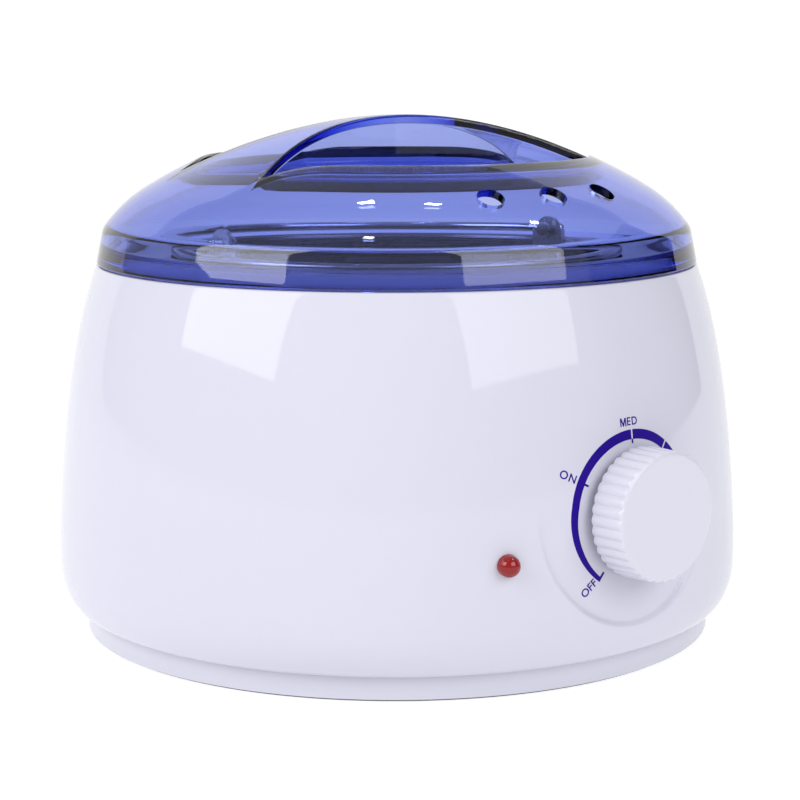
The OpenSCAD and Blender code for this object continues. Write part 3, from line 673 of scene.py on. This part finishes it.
def lid_side(skin, loop, radius, outline, last=None):
    """The dome from the pockets' outline out to the crown's edge, then down an outline.
    Its columns turn on the way to the angles in last, so that both skins meet at the rim."""
    angles = np.unwrap([math.atan2(y, x) for x, y, _ in loop])
    last = angles if last is None else last
    edge_r = radius * math.sin(math.radians(TURN))
    starts = np.array([math.hypot(x, y) for x, y, _ in loop])
    rows = [loop]
    for t in np.linspace(0, 1, 15)[1:]:
        rows.append([(r * math.cos(a), r * math.sin(a), crown(r, 0, radius)) for r, a in
                     zip(starts + (edge_r - starts) * t, angles + (last - angles) * t)])
    for r, z in outline:
        rows.append([(r * math.cos(a), r * math.sin(a), z) for a in last])
    skin.grid(rows, closed=True)
    return last


lid = Skin()
outside_loop = lid_skin(lid, 0.0, CROWN_R, FLOOR_Z, round_top=0.9, round_floor=1.4)
crease_end = CREASE + 1.6
soft_crease = arc(SHOULDER, SHOULDER_R, crease_end, crease_end, 0)[0]
below = (BAND_R + 0.22, BAND_Z - 1.1)
outside_edge = (arc(SHOULDER, SHOULDER_R, 90 - TURN, crease_end, 18)[1:]
                + bend(soft_crease, (BAND_R, BAND_Z), below, 5)[1:]
                + [(BAND_R + (SEAT_R - BAND_R) * (BAND_Z - z) / (BAND_Z - LID_Z), z)
                   for z in np.linspace(BAND_Z - 2.2, LID_Z + 0.6, 6)]
                + bend((SEAT_R - 0.12, LID_Z + 0.6), (SEAT_R, LID_Z), (SEAT_R - 0.6, LID_Z), 4)[1:]
                + [(STEP_R + 0.4, LID_Z), (STEP_R, LID_Z + 0.4)])
rim_angles = lid_side(lid, outside_loop, CROWN_R, outside_edge)
inside_loop = lid_skin(lid, THICK, CROWN_R - THICK, FLOOR_Z - THICK,
                       round_top=0.4, round_floor=1.2)
inner_band = np.array((BAND_R - THICK * 0.94, BAND_Z - THICK * 0.3))
ledge_z = STEP_Z + 1.2
ledge_r = SEAT_R - THICK - (SEAT_R - BAND_R) * (ledge_z - LID_Z) / (BAND_Z - LID_Z)
inside_edge = (arc(SHOULDER, SHOULDER_R - THICK, 90 - TURN, CREASE + THICK * 0.8, 16)[1:]
               + [tuple(inner_band * (1 - t) + np.array((ledge_r, ledge_z)) * t)
                  for t in (0.0, 0.25, 0.5, 0.75, 0.9)]
               + bend((ledge_r, ledge_z), (ledge_r, STEP_Z + 0.6), (STEP_R + 0.2, STEP_Z + 0.3), 4)
               + bend((STEP_R + 0.2, STEP_Z + 0.3), (STEP_R, STEP_Z),
                      (STEP_R, STEP_Z - 0.6), 4)[1:]
               + [(STEP_R, LID_Z + 0.4)])
lid_side(lid, inside_loop, CROWN_R - THICK, inside_edge, rim_angles)
lid_object = lid.build("lid_dome", "clear_violet_blue", "lid", "lid", sharp=55, turn=LID_TURN)

VENT_R, VENT_PLACE, VENT_STEP = 3.5, 66.3, 15.65
lean = math.asin(VENT_PLACE / CROWN_R)
centre = Vector((0, 0, CROWN_C))
vents = []
for step in (-VENT_STEP, 0.0, VENT_STEP):
    a = math.radians(90 + LID_TURN + step)
    out = Vector((math.sin(lean) * math.cos(a), math.sin(lean) * math.sin(a), math.cos(lean)))
    vents.append((VENT_R, centre + out * (CROWN_R - 12), centre + out * (CROWN_R + 8)))
drill(lid_object, vents, sharp=40)

# ---------------------------------------------------------------- studio

CAMERA_TURN = math.radians(-39.9)
AIM_Z = 0.09
DISTANCE, SPOT, SPOT_GLOW, SPOT_SHAPE = 1.3, 0.06, 34.0, 0.75
SKY, PAPER_GLOW = 0.45, 0.74


def around(turn, distance, height):
    """A point at an azimuth measured from the camera's own side of the object."""
    a = CAMERA_TURN + math.radians(turn)
    return Vector((distance * math.sin(a), -distance * math.cos(a), height))


def softbox(name, turn, rise, width, height, glow):
    """A rectangular light of one radiance that faces the object, size in metres."""
    light = bpy.data.lights.new(name, "AREA")
    light.shape, light.size, light.size_y = "RECTANGLE", width, height
    light.energy = glow * math.pi * width * height
    obj = bpy.data.objects.new(name, light)
    scene.collection.objects.link(obj)
    up = math.radians(rise)
    obj.location = around(turn, DISTANCE * math.cos(up), AIM_Z + DISTANCE * math.sin(up))
    aim = Vector((0, 0, AIM_Z)) - obj.location
    obj.rotation_euler = aim.to_track_quat("-Z", "Y").to_euler()


def span(angle):
    """The width of a light that fills an angle, in degrees, as the object sees it."""
    return 2 * DISTANCE * math.tan(math.radians(angle / 2))


def stand(name, mesh, material):
    """A piece of the studio, which isn't part of the object."""
    mesh.materials.append(material)
    obj = bpy.data.objects.new(name, mesh)
    scene.collection.objects.link(obj)


softbox("softbox_left", -60.5, 29.0, span(39.0), span(34.0), 4.4)
softbox("softbox_right", 44.5, 29.0, span(40.0), span(34.0), 3.4)
for name, turn, rise in (("spot_rear_left", -166.1, 69.5), ("spot_rear_right", 162.2, 70.3),
                         ("spot_right", 106.2, 60.0), ("spot_left", -24.0, 72.8)):
    softbox(name, turn, rise, SPOT, SPOT * SPOT_SHAPE, SPOT_GLOW)

world = bpy.data.worlds.new("studio")
scene.world = world
world.use_nodes = True
sky = Nodes(world.node_tree)
backdrop = sky.add("ShaderNodeBackground", Color=(1.0, 1.0, 1.0, 1.0), Strength=SKY)
sky.add("ShaderNodeOutputWorld", Surface=backdrop.outputs[0])

floor_material = bpy.data.materials.new("studio_paper")
floor_material.use_nodes = True
paper = Nodes(floor_material.node_tree)
grain = paper.add("ShaderNodeTexNoise", Vector=stretched(paper, (1, 1, 1)), Scale=90.0)
tone = paper.ramp(grain.outputs["Fac"], [(NOISE_LOW, (0.36, 0.36, 0.36)),
                                         (NOISE_HIGH, (0.38, 0.38, 0.38))])
sheet_shader = paper.add("ShaderNodeBsdfPrincipled", Base_Color=tone, Roughness=0.9)
sheet_shader.inputs["Specular IOR Level"].default_value = 0.0
sheet_shader.inputs["Emission Color"].default_value = (1.0, 1.0, 1.0, 1.0)
sheet_shader.inputs["Emission Strength"].default_value = PAPER_GLOW
paper.add("ShaderNodeOutputMaterial", Surface=sheet_shader.outputs[0])

RUN_FRONT, RUN_BACK, RISE_R, RISE_TOP, HALF_WIDTH, STRIPS = -1.6, 1.3, 0.5, 2.0, 2.6, 9
profile = [(y, 0.0) for y in np.linspace(RUN_FRONT, RUN_BACK, 12)]
profile += [(RUN_BACK + RISE_R * math.sin(a), RISE_R * (1 - math.cos(a)))
            for a in np.linspace(0, math.pi / 2, 14)[1:]]
profile += [(RUN_BACK + RISE_R, z) for z in np.linspace(RISE_R, RISE_TOP, 5)[1:]]
cove = bpy.data.meshes.new("cove")
points = [(x, y, z) for y, z in profile for x in np.linspace(-HALF_WIDTH, HALF_WIDTH, STRIPS)]
quads = [(i * STRIPS + j, i * STRIPS + j + 1, (i + 1) * STRIPS + j + 1, (i + 1) * STRIPS + j)
         for i in range(len(profile) - 1) for j in range(STRIPS - 1)]
cove.from_pydata(points, [], quads)
cove.transform(Matrix.Rotation(CAMERA_TURN, 4, "Z"))
cove.polygons.foreach_set("use_smooth", [True] * len(cove.polygons))
stand("studio_cove", cove, floor_material)

FLAG_TURN, FLAG_AWAY, FLAG_HALF, FLAG_FOOT, FLAG_TOP = 101.0, 1.25, 0.62, 0.02, 1.1
flag = bpy.data.meshes.new("flag")
flag.from_pydata([(x, 0.0, z) for z in (FLAG_FOOT, FLAG_TOP) for x in (-FLAG_HALF, FLAG_HALF)],
                 [], [(0, 1, 3, 2)])
flag.transform(Matrix.Translation(around(FLAG_TURN, FLAG_AWAY, 0.0))
               @ Matrix.Rotation(CAMERA_TURN + math.radians(FLAG_TURN), 4, "Z"))
stand("studio_flag", flag, surface("studio_flag", (0.02, 0.02, 0.022), 0.9, grain=300))

EYE_AWAY, EYE_Z = 0.59948, 0.15707
EYE_ASIDE, EYE_DOWN, EYE_ROLL = -0.0014, 0.1601, -0.0018  # radians
camera = bpy.data.cameras.new("camera")
camera.lens, camera.sensor_width = 99.187, 36.0
camera_object = bpy.data.objects.new("camera", camera)
scene.collection.objects.link(camera_object)
camera_object.matrix_world = (
    Matrix.Translation(around(0, EYE_AWAY, EYE_Z))
    @ Matrix.Rotation(CAMERA_TURN + EYE_ASIDE, 4, "Z")
    @ Matrix.Rotation(math.radians(90) - EYE_DOWN, 4, "X")
    @ Matrix.Rotation(EYE_ROLL, 4, "Z"))
scene.camera = camera_object
